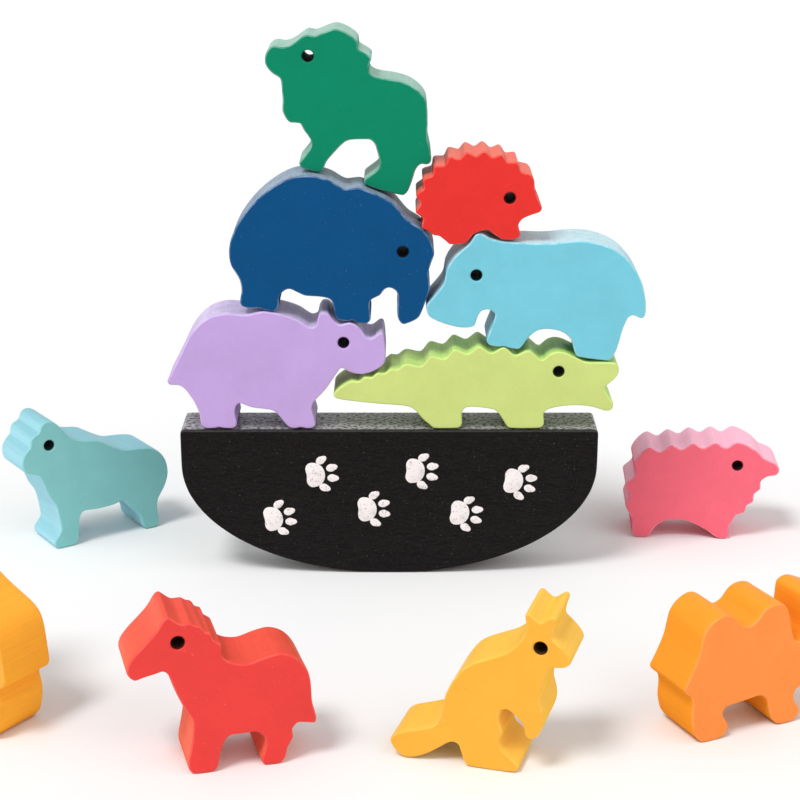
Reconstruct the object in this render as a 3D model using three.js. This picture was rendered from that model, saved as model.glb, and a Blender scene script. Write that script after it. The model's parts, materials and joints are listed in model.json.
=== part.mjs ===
// Rocking balance toy: a half-moon rocker carries a stack of six flat wooden animals on its deck,
// and six more animals of the same set stand round it.
// Millimetres, +Z up. The origin lies on the resting surface under the middle of the rocker,
// X runs along the rocker and Y goes through its thickness, away from the viewer.

import * as THREE from "three";

// Rocker
const ROCKER_LENGTH = 150;
const ROCKER_HEIGHT = 55;
const ROCKER_THICKNESS = 21.5;
const ROCKER_CHEEK = 13.5; // upright ends below the deck, above the curved belly
const ROCKER_REST = 18; // flat in the middle of the belly, on which it stands level
const ROCKER_CORNER = 1.5; // radius at both ends of the deck

// Board that the animals are sawn from
const BOARD = 20;
const EDGE = 0.5; // sanded edge of every piece
const EYE_BORE = 4.1; // eye drilled right through the board
const SOLE_ROUND = 1.5; // corner at the front and back of a foot
const PAD_ROUND = 3; // the same on a soft, padded foot
const TOE_NOTCH = 0.7; // nick between the toes of a broad foot

// Length and height of each animal standing level
const RHINO_LENGTH = 78;
const RHINO_HEIGHT = 43.6;
const CROCODILE_LENGTH = 101.7;
const CROCODILE_HEIGHT = 30.8;
const ELEPHANT_LENGTH = 71.5;
const ELEPHANT_HEIGHT = 50;
const HIPPO_LENGTH = 77;
const HIPPO_HEIGHT = 42.1;
const HEDGEHOG_LENGTH = 43.8;
const HEDGEHOG_HEIGHT = 32.2;
const LION_LENGTH = 64.4;
const LION_HEIGHT = 49.5;
const BEAR_LENGTH = 59.6;
const BEAR_HEIGHT = 51.2;
const SHEEP_LENGTH = 57.8;
const SHEEP_HEIGHT = 39.3;
const HORSE_LENGTH = 55.3;
const HORSE_HEIGHT = 51.1;
const KANGAROO_LENGTH = 54;
const KANGAROO_HEIGHT = 51.5;
const CAMEL_LENGTH = 57.8;
const CAMEL_HEIGHT = 41.3;
const GIRAFFE_LENGTH = 48.7;
const GIRAFFE_HEIGHT = 74;

// Scalloped edges
const SPINES = 10; // hollows along the hedgehog's back
const SPINE_DEPTH = 1.9;
const WOOL_DEPTH = 2.1; // hollows between the sheep's curls
const BIB_DEPTH = 1.2; // smaller curls under its neck
const SCALE_DEPTH = 2.4; // hollows along the crocodile's back
const TAIL_SCALE_DEPTH = 1;

// How the stack is laid
const REST_GAP = 0.3; // between a piece and the piece it rests on
const SIDE_GAP = 0.7; // between neighbours that only come close
const TAIL_GAP = 2.7; // from the rhinoceros to the crocodile, along the deck
const LION_GAP = 1.5; // from the lion's tail to the hedgehog
const STACK_SETBACK = 1; // the stack's faces behind the rocker's face
const LION_SETBACK = 5; // the lion's face behind the others
const RHINO_FROM_END = 34.8; // middle of the rhinoceros from the rocker's left end
const ELEPHANT_FORWARD = 17; // middle of the elephant in front of the rhinoceros's
const HEDGEHOG_BACK = 17.6; // middle of the hedgehog behind the hippopotamus's, over its brow

// Places of the loose animals: the middle of each sole line, and its turn about Z in degrees
const BEAR_FROM_END = 41.1;
const BEAR_BEHIND = 29.8;
const BEAR_TURN = 33.5;
const SHEEP_FROM_END = 44;
const SHEEP_BEHIND = 32.4;
const SHEEP_TURN = -3;
const HORSE_LEFT = 50;
const HORSE_AHEAD = 149.8;
const HORSE_TURN = 15;
const KANGAROO_RIGHT = 29.5;
const KANGAROO_AHEAD = 148.4;
const KANGAROO_TURN = -16.5;
const CAMEL_RIGHT = 110.6;
const CAMEL_AHEAD = 124.3;
const CAMEL_TURN = 25;
const GIRAFFE_LEFT = 129;
const GIRAFFE_AHEAD = 122.8;
const GIRAFFE_TURN = -33.5;

// Fineness of the sawn curves
const FACET = 0.05; // how far a flat facet may stray from its curve
const KNOT_STEPS = 12; // steps between two knots before the curve is thinned
const EYE_SIDES = 16;
const BELLY_STEPS = 18; // facets on each half of the rocker's belly
const CORNER_STEPS = 4;

const MAX_LEAN = THREE.MathUtils.degToRad(30);
const LEAN_STEPS = 30;
const NUDGES = 30;
const NUDGE = 0.4; // share of the remaining gap that one nudge takes up

const point = (x, z) => new THREE.Vector2(x, z);

// Knots of outlines. Every outline runs anticlockwise, with its feet on z = 0.

// A plain foot from heel to toe
function sole(from, to, round = SOLE_ROUND) {
  return [
    [from, round],
    [from + round, 0],
    [to - round, 0],
    [to, round],
  ];
}

// A broad foot with a nick between its two toes
function clovenSole(from, to) {
  const middle = (from + to) / 2;
  return [
    [from, SOLE_ROUND],
    [from + SOLE_ROUND, 0],
    [middle - 2 * TOE_NOTCH, 0],
    [middle, TOE_NOTCH],
    [middle + 2 * TOE_NOTCH, 0],
    [to - SOLE_ROUND, 0],
    [to, SOLE_ROUND],
  ];
}

// Hollows cut into a curve at even steps, with tips left standing between them
function scallop(curve, hollows, depth) {
  const knots = [];
  for (let i = 0; i <= 2 * hollows; i++) {
    const along = i / (2 * hollows);
    const tip = curve.getPointAt(along);
    const run = curve.getTangentAt(along);
    const cut = i % 2 === 1 ? depth : 0;
    knots.push([tip.x - run.y * cut, tip.y + run.x * cut]);
  }
  return knots;
}

const bow = (...knots) => new THREE.SplineCurve(knots.map(([x, z]) => point(x, z)));

// Points along a closed smooth curve through the knots, with the soles cut flat
function smoothed(knots) {
  const through = knots.map(([x, z]) => new THREE.Vector3(x, z, 0));
  const curve = new THREE.CatmullRomCurve3(through, true, "centripetal");
  const fine = curve.getPoints(knots.length * KNOT_STEPS).slice(0, -1);
  return thinned(fine.map((p) => point(p.x, Math.max(p.y, 0))));
}

// The fewest of the points whose chords stay within FACET of them, no closer together than the sanded
// edge is wide, with both ends of each sole kept
function thinned(points) {
  const grounded = (i) => points[i % points.length].y === 0;
  const kept = [points[0]];
  let from = 0;
  for (let to = 2; to <= points.length; to++) {
    const chord = [points[from], points[to % points.length]];
    const strays = points.slice(from + 1, to).some((p) => offChord(p, ...chord) > FACET);
    const endsSole = grounded(to - 1) && !(grounded(to - 2) && grounded(to));
    if (strays || endsSole) {
      from = to - 1;
      kept.push(points[from]);
    }
  }
  const spaced = [];
  for (const p of kept) {
    const before = spaced.at(-1) ?? kept.at(-1);
    const crowded = p.distanceTo(before) < EDGE;
    if (crowded && p.y === 0 && before.y > 0) {
      spaced.pop();
    }
    if (p.y === 0 || !crowded) {
      spaced.push(p);
    }
  }
  const bend = (i) => offChord(spaced[i], spaced.at(i - 1), spaced[(i + 1) % spaced.length]);
  return spaced.filter((p, i) => bend(i) > FACET / 10);
}

function offChord(p, a, b) {
  const run = b.clone().sub(a);
  return Math.abs(run.cross(p.clone().sub(a))) / Math.max(run.length(), Number.EPSILON);
}

// An animal's outline and eye, stretched to its length and height about the middle of its length
function animal(colour, length, height, eye, knots) {
  const drawn = smoothed(knots);
  const box = new THREE.Box2().setFromPoints(drawn);
  const size = box.getSize(point(0, 0));
  const stretch = (p) => point(
    ((p.x - box.min.x) / size.x - 0.5) * length,
    (p.y / size.y) * height,
  );
  return { colour, outline: drawn.map(stretch), eye: stretch(point(...eye)) };
}

// Rocker: a level deck, upright cheeks and a half-elliptic belly with a short flat to stand on
function rockerOutline() {
  const half = ROCKER_LENGTH / 2;
  const drop = ROCKER_HEIGHT - ROCKER_CHEEK;
  const sag = drop / Math.sqrt(1 - (ROCKER_REST / ROCKER_LENGTH) ** 2); // ellipse cut off by the flat
  const tilt = Math.asin(drop / sag);
  const level = ROCKER_HEIGHT - ROCKER_CORNER;
  const shape = new THREE.Shape();
  shape.absarc(half - ROCKER_CORNER, level, ROCKER_CORNER, 0, Math.PI / 2);
  shape.absarc(ROCKER_CORNER - half, level, ROCKER_CORNER, Math.PI / 2, Math.PI);
  const outline = shape.getPoints(CORNER_STEPS);
  for (const side of [-1, 1]) {
    for (let i = 0; i <= BELLY_STEPS; i++) {
      const angle = tilt * (side < 0 ? i / BELLY_STEPS : 1 - i / BELLY_STEPS);
      outline.push(point(side * half * Math.cos(angle), drop - sag * Math.sin(angle)));
    }
  }
  return outline;
}

const rocker = { colour: 0x232121, outline: rockerOutline() };

// Rhinoceros, facing right
const rhinoceros = animal(0xc3a6e0, RHINO_LENGTH, RHINO_HEIGHT, [20.7, 31.5], [
  ...clovenSole(-30, -17.3),
  [-18, 6.5], [-16.5, 9.3], [-12, 7.8], [-4, 6.4], // inside of the legs and belly
  ...clovenSole(0, 10.6),
  [9.2, 7], [10.2, 10], [14, 14], [18, 20], [20, 22.3], // chest and throat
  [23, 20.7], [27, 20], [32, 21.5], [35.2, 24.5], // jaw
  [35.3, 29], [35.1, 33], [34.4, 35], [33, 35.1], // nose and front horn
  [31, 33.3], [28.8, 33.3], [26.8, 36.3], // dip behind the horn
  [24.5, 38.3], [22.5, 38.8], [19.5, 38], [17.3, 39.5], // second horn and brow
  [15.3, 42], [13, 42.2], [11.8, 40.5], [11.2, 37.8], [9.2, 37], // ear
  [4, 40.2], [-7, 42.8], [-13, 41.5], [-21, 42], // shoulder and back
  [-27.5, 39.8], [-33, 34], [-36.5, 27], // rump
  [-40.8, 18.7], [-41.6, 17], [-40.3, 16], [-37.5, 16], // tail
  [-35.3, 14.5], [-32, 9.5], [-30.5, 5.5],
]);

// Crocodile, facing right with its mouth open
const crocodile = animal(0xcfdd84, CROCODILE_LENGTH, CROCODILE_HEIGHT, [41.8, 21.4], [
  [-37.3, 11.8], [-25, 9.6], [-10.5, 8.1], [-8.3, 6.5], [-5.5, 3], // under the tail
  ...sole(-3.5, 7.9),
  [7.9, 6.2], [9.3, 7.9], [16.5, 7.7], [19.8, 6.8], [22.3, 3.6], // belly
  ...sole(23.4, 37),
  [36.9, 5.8], [38.5, 7.3], [47, 8.8], [54, 8.2], [59, 6.6], // throat
  [61, 7.2], [61.4, 9.5], [58.7, 13.5], [58.3, 15.5], // lower jaw and mouth
  [62, 19], [63.1, 22], [62, 24.4], [58, 25], [51, 25.1], [47.5, 26.8], // snout
  [44, 28.5], [41, 28.9], [38.5, 28], [35.8, 25.8], // brow
  ...scallop(bow([31, 29.3], [18, 30.8], [5.3, 29.8], [-11.5, 24.4]), 5, SCALE_DEPTH),
  ...scallop(bow([-13, 23.9], [-22, 21], [-31, 18]), 4, TAIL_SCALE_DEPTH),
  [-35.5, 15.5], [-37.5, 13.2],
]);

// Elephant, facing right with its trunk hanging
const elephant = animal(0x014c80, ELEPHANT_LENGTH, ELEPHANT_HEIGHT, [43, 28], [
  ...clovenSole(-10.8, 2.7),
  [2.6, 6], [4.2, 8.3], [6, 9], [11, 7.3], [17.5, 7.7], [20.7, 6.8], // belly
  ...clovenSole(22.7, 35.2),
  [34.3, 6.5], [34.4, 9], [37.3, 11.2], [38.3, 13.3], // chest
  [40, 14.4], [42.5, 13.6], [43.5, 11.5], // mouth
  [43.8, 7], [44.6, 3.6], [46.6, 1.7], [49, 2.7], [51.7, 4.9], [52.7, 8], // trunk
  [53.8, 13.3], [54.2, 16.4], [52.8, 22], [53.2, 25.3], // bridge of the trunk
  [53.9, 28.4], [53, 31.6], [50.3, 35.5], [46.9, 37.9], // forehead
  [43.5, 39.3], [41, 41.4], [38.2, 44.2], [34, 46.4], [29.5, 47.6], // neck
  [25.7, 48.7], [24, 48.6], [20, 47.6], // edge of the ear
  [14.5, 49.9], [8, 50.6], [1, 48.7], [-6, 43.3], // back
  [-12, 35.6], [-15.8, 27.2], [-16.8, 21], [-15.5, 14.8], [-12, 10.2], [-10.7, 6], // rump
]);

// Hippopotamus, facing left
const hippopotamus = animal(0x7bcfe0, HIPPO_LENGTH, HIPPO_HEIGHT, [-18.2, 25.1], [
  ...clovenSole(-11.2, 1.7),
  [2.8, 4.3], [6.3, 8], [11, 9], [15.8, 8.1], [18.5, 5.6], // belly
  ...sole(20.2, 33.8),
  [35, 6], [35.7, 13], [37.2, 17.4], [38.7, 18], // back of the hind leg
  [41, 17.2], [42.4, 18], [42.3, 22], // tail
  [40, 29.2], [35.8, 35.3], [29.5, 40.2], [22, 42.4], // rump
  [14, 42.2], [5.5, 40], [-3, 39.1], [-11, 38.4], // back
  [-15.5, 38.9], [-18.3, 40.2], [-20.5, 39.8], [-22, 36.5], // ear
  [-26.7, 30.7], [-28.8, 25.8], [-29, 20.8], [-32, 15.2], // brow
  [-34, 11.7], [-32.5, 8], [-26, 5.7], [-20, 5.3], [-16.3, 6.5], // muzzle
  [-15.7, 9.7], [-14.5, 12.4], [-12, 13.2], [-9.8, 12], [-9.7, 9.5], [-10.8, 5], // throat
]);

// Hedgehog, facing right, with spines all round its back
const hedgehogBack = new THREE.EllipseCurve(
  9, 14, 21.3, 18.4, THREE.MathUtils.degToRad(28), THREE.MathUtils.degToRad(203),
);
const hedgehog = animal(0xe6342f, HEDGEHOG_LENGTH, HEDGEHOG_HEIGHT, [20.3, 14.8], [
  ...sole(-2.6, 5.6),
  [7, 3.1], [9, 3.8], [12, 4.2], [14.2, 2.2], // belly
  ...sole(15.3, 23),
  [22.6, 5], [24, 7], [27.5, 8.3], [30.2, 9], [31, 10.3], // chin and nose
  [30, 13.5], [29, 17], [29, 20.3], // face
  ...scallop(hedgehogBack, SPINES, SPINE_DEPTH),
  [-8.2, 5.6], [-6.9, 3.8], [-4.8, 3.5], // lowest spine
]);

// Lion, facing left, with its mane round the head
const lion = animal(0x018663, LION_LENGTH, LION_HEIGHT, [-41.9, 38], [
  ...sole(-35.4, -26.8),
  [-26.5, 4.3], [-24.2, 9.3], [-21.5, 13.5], [-17, 15.3], [-13.8, 16], [-12, 15], // belly
  [-9.8, 11.3], [-8.4, 8.8], [-8.8, 6.6], [-11, 3.8], // thigh
  ...sole(-12.4, 3.2),
  [3.9, 6], [4, 10.5], [5.2, 12.6], // back of the hind leg
  [7.6, 13], [8.3, 14.6], [7, 18.2], // tail
  [5, 21.7], [3, 29], [0.5, 34.8], [-4.5, 37.7], [-10, 38.3], [-18, 37.5], // rump and back
  [-20.3, 38.5], [-21.1, 41], [-20.7, 43.1], [-23, 44.2], [-26, 45], [-27, 47.4], // nape of the mane
  [-31.5, 49.3], [-35.5, 49.4], [-38.5, 47.5], [-41.5, 45.2], // crown
  [-44.3, 44.9], [-47.5, 41], [-50.5, 38.7], [-54, 38.2], // ear, brow and bridge
  [-55.7, 36], [-55.3, 31.8], [-52.5, 29.2], [-49, 28], // nose and chin
  [-47.8, 25.3], [-46.2, 21], [-45.5, 17.5], [-42.2, 14.4], // chest mane
  [-38.5, 14.9], [-36.8, 13], [-33.8, 10.7], [-33, 8.3], [-34.3, 4.2],
]);

// Bear, facing left
const bear = animal(0x80b6af, BEAR_LENGTH, BEAR_HEIGHT, [-5.7, 40.8], [
  ...sole(-5.7, 3.7),
  [4.3, 6], [4.8, 10.8], [6.3, 12.5], [12, 12.2], [19, 12.6], [22.5, 13.5], // belly
  [25, 10.2], [29, 5.5], // thigh
  ...sole(29.9, 36.6),
  [36, 7], [36.6, 11.2], [39.4, 15.4], // back of the hind leg
  [41.1, 21.3], [39.5, 27.6], [35.2, 31.7], [29.5, 33], // rump
  [23.5, 33.5], [18, 36.2], [13, 39.2], [6.5, 40.4], // back
  [2.5, 42.6], [-1.3, 47.3], [-4, 49.6], [-6.5, 50.1], [-8.3, 49], [-9.5, 46.3], // neck and ear
  [-11.4, 45.5], [-12.7, 43.8], [-12.9, 41.6], [-14.4, 40.2], // brow
  [-15.9, 38], [-16.4, 35], [-15.2, 31.9], [-12.8, 30.9], [-10.2, 29.7], // muzzle
  [-8.6, 26], [-7.3, 22], [-4.6, 17.5], [-3.4, 11.5], [-3, 7.2], [-4.2, 5.2], [-5.6, 3.5], // chest and foot
]);

// Sheep, facing right, with curls of wool along its back, rump and neck
const sheep = animal(0xf56c79, SHEEP_LENGTH, SHEEP_HEIGHT, [34.1, 29.2], [
  ...sole(-3.6, 3.2),
  [5, 4.4], [7.8, 6.6], [11, 7.4], [15, 7.3], [18.5, 6.2], [22, 4.4], // belly
  ...sole(26.4, 32.4),
  [32, 4.8],
  ...scallop(bow([33.4, 7], [39.5, 13], [45.2, 25]), 4, BIB_DEPTH),
  [48.8, 25.8], [49.6, 28], [47.5, 30.7], [43.5, 32.3], [41.2, 34.8], [38, 36.9], // face
  ...scallop(bow([33.4, 38.5], [18, 37.8], [1.5, 35.8]), 4, WOOL_DEPTH),
  ...scallop(bow([-3.8, 30], [-7, 20], [-6.4, 12.2]), 2, WOOL_DEPTH),
  [-4.8, 9.3], [-3.7, 6.5],
]);

// Horse, facing left, with a stepped mane
const horse = animal(0xed4640, HORSE_LENGTH, HORSE_HEIGHT, [-5.6, 44.2], [
  ...sole(-3.6, 5.4),
  [6.2, 6], [8.3, 10.7], [10, 11.7], [14, 11.6], [17.6, 11.7], [20.2, 9.4], [20.4, 6.8], // belly
  ...sole(19, 26.4),
  [27.3, 5], [29.2, 8.5], [28.9, 10.9], [30.5, 13], [33, 12.9], // hock
  [36.2, 12.4], [36.6, 14.3], [35.3, 19.5], [35.1, 26], // tail
  [34, 30.5], [30.5, 35.1], [26, 37.1], [21, 36.5], // rump
  [15.5, 34.9], [10.7, 35.8], [7.6, 38.3], [7.5, 42.2], // saddle
  [5.3, 43.8], [4.4, 46.3], [2.5, 46.9], [1.8, 48.8], [-0.2, 49.2], [-1.4, 50.2], // mane
  [-4.5, 50.2], [-6.8, 51.8], [-8.5, 53.1], [-10, 51.8], // ear
  [-11.6, 49], [-15.3, 45], [-18.5, 42], [-21, 38.3], [-21.2, 35.6], // face
  [-19, 33.3], [-16.3, 34], [-13, 34.6], [-10.5, 35.3], // jaw
  [-9, 34.3], [-7.6, 30], [-4.7, 23], [-2.2, 18.7], [-1.8, 16.3], [-2.6, 10], [-3.8, 4.5], // chest
]);

// Kangaroo, facing right, with its tail on the ground and its arm clear of the leg
const kangaroo = animal(0xfebc46, KANGAROO_LENGTH, KANGAROO_HEIGHT, [14.2, 42.7], [
  [-32.8, 5.6], [-31.5, 2.6], [-28.6, 0.4], [-25.5, 0.4], [-20, 2.8], // tail
  [-15, 6.6], [-13, 7.6], [-11, 7.1], [-9.9, 4.2], // hollow behind the leg
  ...sole(-9, 8.2),
  [8.2, 2.8], [5.5, 5.2], [2.8, 7.6], [2, 10], [3, 12.8], // instep
  [1.9, 17], [2.3, 20.2], [4.2, 21.1], [6.8, 19.5], [9.5, 16.3], // thigh and armpit
  [10.2, 13], [11.7, 12.1], [14, 13.4], [15.6, 17.5], [15.6, 20.8], // paw and elbow
  [14.4, 25.5], [15.3, 31.2], [16.5, 35.6], [18, 36.7], // chest and throat
  [21.6, 37.2], [23.5, 38.8], [23.2, 40.6], [20.5, 44], // muzzle
  [17.8, 46.5], [18, 49.5], [18.9, 52.3], [18, 53.4], [16.6, 52.8], // forehead and ear
  [14.2, 51.1], [12.3, 52.1], [10.6, 53.6], [9.3, 53.1], [9.4, 51.2], // crown and other ear
  [9.7, 48.3], [8.4, 44.7], [3.8, 40], [-3.5, 36.7], [-8.5, 33.9], // nape and back
  [-12.2, 29.4], [-15.2, 23.2], [-16.3, 16.8], [-18.6, 12.6], // rump
  [-24, 10.5], [-31, 8],
]);

// Camel, facing right, with two humps
const camel = animal(0xff9446, CAMEL_LENGTH, CAMEL_HEIGHT, [41.3, 36.6], [
  ...sole(-5, 7.1, PAD_ROUND),
  [6.4, 5.6], [4.9, 8], [5.6, 10.3], [12, 11.1], [19, 11.7], [21.2, 9.5], [22, 6], // belly
  ...sole(23.2, 34, PAD_ROUND),
  [33, 5.6], [31.4, 8.2], [32.2, 11.2], [36.5, 13], [40.3, 17.5], // chest
  [41.8, 24], [42.4, 30], [44, 32.2], [47.3, 32.8], // neck and jaw
  [49, 35], [47.6, 38.2], [43.5, 40.6], [39.5, 41.8], [36.4, 40.4], // head
  [35.9, 36], [35.2, 30.5], [33.2, 28], [30.8, 28.4], // nape
  [28.8, 33], [27.6, 38.5], [25.3, 41.9], [21.5, 42.6], [18.2, 41.4], // fore hump
  [15.3, 38], [12.5, 36.9], [9.7, 38], // saddle
  [6.8, 41.2], [3.5, 42.5], [-0.5, 41], [-3.5, 37.6], // hind hump
  [-5.4, 29.5], [-8.6, 22.4], [-10, 19.8], [-9.2, 18.3], // rump and tail
  [-7.3, 16.8], [-6.5, 14], [-6.8, 9.5], [-6.2, 6],
]);

// Giraffe, facing left
const giraffe = animal(0xfbae3e, GIRAFFE_LENGTH, GIRAFFE_HEIGHT, [-15.2, 66.5], [
  ...sole(-12, -3.4),
  [-3.2, 9], [-2, 15.5], [2.5, 17.3], [6.5, 16.5], [7.9, 13], [7.9, 7], // belly
  ...sole(7.6, 17, PAD_ROUND),
  [18.3, 7.5], [18.7, 12], [17.7, 16.2], [18.5, 18.4], [21, 19.2], [22.3, 21], // hind leg and tail
  [21.8, 27], [21.1, 33], [19.5, 37.4], [16.5, 40.2], [10.5, 43.2], [4.5, 46.5], // rump and sloping back
  [-0.8, 51], [-4.8, 58.5], [-7.2, 66.5], // neck
  [-8, 70.5], [-8.6, 74.6], [-10.1, 76], [-11.5, 74.4], [-12.4, 71.4], // horn
  [-16, 71.2], [-21, 68], [-26.2, 64.4], [-27.3, 61.6], [-25.4, 59.6], // brow and muzzle
  [-19.5, 60.2], [-16.8, 57], [-15.2, 48], [-14.6, 38], [-14.2, 28], [-12.8, 18], [-12.5, 8], // throat
]);

// A piece's outline moved and leant in the plane of the stack
function placed(outline, { x, z, lean }) {
  return outline.map((p) => p.clone().rotateAround(point(0, 0), lean).add(point(x, z)));
}

function centroid(outline) {
  const sum = point(0, 0);
  let area = 0;
  outline.forEach((a, i) => {
    const b = outline[(i + 1) % outline.length];
    const cross = a.cross(b);
    area += cross;
    sum.addScaledVector(a.clone().add(b), cross);
  });
  return sum.divideScalar(3 * area);
}

// The least height of one outline over another, and where along x they would meet
function headroom(over, under) {
  let least = { gap: Infinity, x: 0 };
  const cast = (corners, edges, sign) => {
    corners.forEach((p) => {
      edges.forEach((a, i) => {
        const b = edges[(i + 1) % edges.length];
        if (a.x === b.x || (p.x - a.x) * (p.x - b.x) > 0) {
          return;
        }
        const level = a.y + ((b.y - a.y) * (p.x - a.x)) / (b.x - a.x);
        const gap = sign * (p.y - level);
        if (gap < least.gap) {
          least = { gap, x: p.x };
        }
      });
    });
  };
  cast(over, under, 1);
  cast(under, over, -1);
  return least;
}

// The pose in which a piece, let down at x, comes to rest on others with contacts on both sides
// of its centre of mass
function settled(piece, x, ...under) {
  const sky = 10 * ROCKER_LENGTH; // lets the piece down from clear above the stack
  let low = -MAX_LEAN;
  let high = MAX_LEAN;
  let pose;
  for (let i = 0; i < LEAN_STEPS; i++) {
    const lean = (low + high) / 2;
    const raised = placed(piece.outline, { x, z: sky, lean });
    const touches = under.map((support) => headroom(raised, support));
    const touch = touches.reduce((first, other) => (other.gap < first.gap ? other : first));
    pose = { x, z: sky - touch.gap + REST_GAP, lean };
    if (touch.x < centroid(raised).x) {
      high = lean;
    } else {
      low = lean;
    }
  }
  return pose;
}

// Clear distance along x from one outline to another on its right
function sideRoom(left, right) {
  const turned = (outline) => outline.map((p) => point(p.y, p.x));
  const away = 10 * ROCKER_LENGTH;
  const moved = turned(right).map((p) => p.add(point(0, away)));
  return headroom(moved, turned(left)).gap - away;
}

// Rests a piece on another and slides it along until it stands a gap away from a neighbour
function leant(piece, under, neighbour, side, gap) {
  let pose = settled(piece, centroid(under).x, under);
  for (let i = 0; i < NUDGES; i++) {
    const outline = placed(piece.outline, pose);
    const room = side > 0 ? sideRoom(neighbour, outline) : sideRoom(outline, neighbour);
    pose = settled(piece, pose.x - side * NUDGE * (room - gap), under);
  }
  return pose;
}

const RIGHT_OF = 1;
const LEFT_OF = -1;

const rhinoPose = settled(rhinoceros, RHINO_FROM_END - ROCKER_LENGTH / 2, rocker.outline);
const rhinoAt = placed(rhinoceros.outline, rhinoPose);
const elephantPose = settled(elephant, rhinoPose.x + ELEPHANT_FORWARD, rhinoAt);
const elephantAt = placed(elephant.outline, elephantPose);
const crocodilePose = leant(crocodile, rocker.outline, rhinoAt, RIGHT_OF, TAIL_GAP);
const crocodileAt = placed(crocodile.outline, crocodilePose);
const hippoPose = leant(hippopotamus, crocodileAt, elephantAt, RIGHT_OF, SIDE_GAP);
const hippoAt = placed(hippopotamus.outline, hippoPose);
const hedgehogPose = settled(hedgehog, hippoPose.x - HEDGEHOG_BACK, hippoAt, elephantAt);
const hedgehogAt = placed(hedgehog.outline, hedgehogPose);
const lionPose = leant(lion, elephantAt, hedgehogAt, LEFT_OF, LION_GAP);

// A board sawn to an outline, with sanded edges and an eye drilled through where there is one
function sawn(name, { outline, eye, colour }, thickness) {
  const shape = new THREE.Shape(outline);
  if (eye) {
    const bore = new THREE.Path().absarc(eye.x, eye.y, EYE_BORE / 2, 0, 2 * Math.PI);
    shape.holes.push(new THREE.Path(bore.getSpacedPoints(EYE_SIDES).slice(0, -1)));
  }
  const geometry = new THREE.ExtrudeGeometry(shape, {
    depth: thickness - 2 * EDGE,
    bevelThickness: EDGE,
    bevelSize: EDGE,
    bevelOffset: -EDGE,
    bevelSegments: 1,
  });
  geometry.translate(0, 0, EDGE - thickness / 2);
  geometry.rotateX(Math.PI / 2);
  const material = new THREE.MeshStandardMaterial({ color: colour, roughness: 0.55, metalness: 0 });
  const mesh = new THREE.Mesh(geometry, material);
  mesh.name = name;
  return mesh;
}

const toy = new THREE.Group();
toy.add(sawn("rocker", rocker, ROCKER_THICKNESS));

// The stack, each piece in the plane of the rocker
const stackY = STACK_SETBACK + (BOARD - ROCKER_THICKNESS) / 2;
const stack = [
  ["rhinoceros", rhinoceros, rhinoPose, 0],
  ["crocodile", crocodile, crocodilePose, 0],
  ["elephant", elephant, elephantPose, 0],
  ["hippopotamus", hippopotamus, hippoPose, 0],
  ["hedgehog", hedgehog, hedgehogPose, 0],
  ["lion", lion, lionPose, LION_SETBACK],
];
for (const [name, piece, { x, z, lean }, setback] of stack) {
  const mesh = sawn(name, piece, BOARD);
  mesh.position.set(x, stackY + setback, z);
  mesh.rotation.y = -lean;
  toy.add(mesh);
}

// The loose animals: two behind the rocker's ends, four in front of it
const leftEnd = -ROCKER_LENGTH / 2;
const rightEnd = ROCKER_LENGTH / 2;
const loose = [
  ["bear", bear, leftEnd - BEAR_FROM_END, BEAR_BEHIND, BEAR_TURN],
  ["sheep", sheep, rightEnd + SHEEP_FROM_END, SHEEP_BEHIND, SHEEP_TURN],
  ["horse", horse, -HORSE_LEFT, -HORSE_AHEAD, HORSE_TURN],
  ["kangaroo", kangaroo, KANGAROO_RIGHT, -KANGAROO_AHEAD, KANGAROO_TURN],
  ["camel", camel, CAMEL_RIGHT, -CAMEL_AHEAD, CAMEL_TURN],
  ["giraffe", giraffe, -GIRAFFE_LEFT, -GIRAFFE_AHEAD, GIRAFFE_TURN],
];
for (const [name, piece, x, y, turn] of loose) {
  const mesh = sawn(name, piece, BOARD);
  mesh.position.set(x, y, 0);
  mesh.rotation.z = THREE.MathUtils.degToRad(turn);
  toy.add(mesh);
}

export default toy;
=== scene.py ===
import json
import math

import bmesh
import bpy
from mathutils import Matrix, Vector

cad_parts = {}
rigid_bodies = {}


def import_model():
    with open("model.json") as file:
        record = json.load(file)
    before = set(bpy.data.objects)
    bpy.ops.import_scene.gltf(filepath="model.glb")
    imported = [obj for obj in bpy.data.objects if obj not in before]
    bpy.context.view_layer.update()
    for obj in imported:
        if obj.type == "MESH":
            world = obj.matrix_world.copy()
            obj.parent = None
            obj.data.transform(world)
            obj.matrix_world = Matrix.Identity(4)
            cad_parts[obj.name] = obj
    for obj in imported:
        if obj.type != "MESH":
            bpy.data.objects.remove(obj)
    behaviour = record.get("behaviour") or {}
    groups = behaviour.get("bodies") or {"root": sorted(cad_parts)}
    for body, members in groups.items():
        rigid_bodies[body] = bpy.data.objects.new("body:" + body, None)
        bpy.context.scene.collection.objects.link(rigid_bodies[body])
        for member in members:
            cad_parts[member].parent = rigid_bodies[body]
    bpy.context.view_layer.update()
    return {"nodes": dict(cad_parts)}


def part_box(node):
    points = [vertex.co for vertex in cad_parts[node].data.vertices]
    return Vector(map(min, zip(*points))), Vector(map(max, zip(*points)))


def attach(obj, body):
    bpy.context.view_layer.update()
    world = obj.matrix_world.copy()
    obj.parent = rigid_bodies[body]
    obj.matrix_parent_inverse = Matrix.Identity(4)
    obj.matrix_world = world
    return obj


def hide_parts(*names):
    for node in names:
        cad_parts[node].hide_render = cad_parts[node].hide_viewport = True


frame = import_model()

MM = 0.001

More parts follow.
